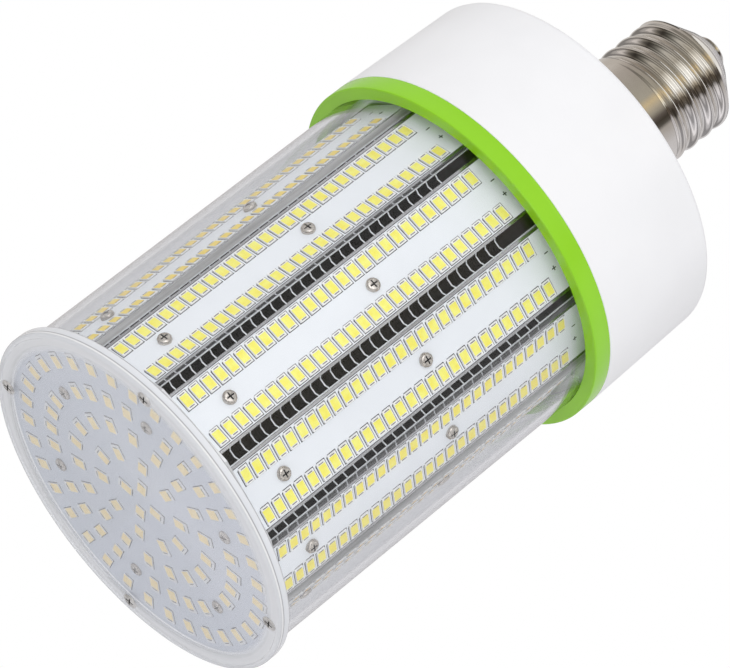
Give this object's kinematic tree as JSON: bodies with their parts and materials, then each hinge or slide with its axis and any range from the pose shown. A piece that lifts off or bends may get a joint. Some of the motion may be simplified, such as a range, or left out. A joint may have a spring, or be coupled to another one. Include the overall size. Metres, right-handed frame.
{
  "type": "corn led bulb",
  "caption": "Cylindrical LED lamp with long LED boards behind a clear tube, a round LED board at its end, a lime ring, a white driver housing and a screw base.",
  "frame": {"origin": "centre of the end cover's flat outer face, on which the lamp stands", "axes": "+Z along the lamp axis towards the screw base, -Y square to one of the long LED boards"},
  "size_m": [0.1196, 0.1196, 0.2442],
  "materials": {
    "clear_plastic": "clear polished plastic",
    "white_board": "white solder mask",
    "led_yellow": "white packages with yellow phosphor windows",
    "aluminium": "bright drawn aluminium",
    "black_fins": "black anodised sheet with bright cut edges",
    "lime_plastic": "glossy lime green plastic",
    "white_plastic": "satin white plastic",
    "green_board": "green solder mask",
    "dark_component": "dark moulded component",
    "lead_rubber": "insulated lead",
    "nickel": "nickel plated sheet",
    "black_insulator": "black glass insulator"
  },
  "bodies": {
    "root": {"end_cover": "clear_plastic", "clear_tube": "clear_plastic", "disc_board": "white_board", "disc_leds": "led_yellow", "front_plate": "aluminium", "cooling_fins": "black_fins", "green_ring": "lime_plastic", "rear_plate": "aluminium", "driver_housing": "white_plastic", "driver_board": "green_board", "transformer": "dark_component", "filter_capacitor": "dark_component", "base_lead": "lead_rubber", "base_shell": "nickel", "base_insulator": "black_insulator", "base_contact": "nickel", "strip_rail_01": "aluminium", "strip_board_01": "white_board", "strip_leds_01": "led_yellow", "strip_rail_02": "aluminium", "strip_board_02": "white_board", "strip_leds_02": "led_yellow", "strip_rail_03": "aluminium", "strip_board_03": "white_board", "strip_leds_03": "led_yellow", "strip_rail_04": "aluminium", "strip_board_04": "white_board", "strip_leds_04": "led_yellow", "strip_rail_05": "aluminium", "strip_board_05": "white_board", "strip_leds_05": "led_yellow", "strip_rail_06": "aluminium", "strip_board_06": "white_board", "strip_leds_06": "led_yellow", "strip_rail_07": "aluminium", "strip_board_07": "white_board", "strip_leds_07": "led_yellow", "strip_rail_08": "aluminium", "strip_board_08": "white_board", "strip_leds_08": "led_yellow", "strip_rail_09": "aluminium", "strip_board_09": "white_board", "strip_leds_09": "led_yellow", "strip_rail_10": "aluminium", "strip_board_10": "white_board", "strip_leds_10": "led_yellow", "strip_rail_11": "aluminium", "strip_board_11": "white_board", "strip_leds_11": "led_yellow", "strip_rail_12": "aluminium", "strip_board_12": "white_board", "strip_leds_12": "led_yellow"}
  },
  "joints": []
}
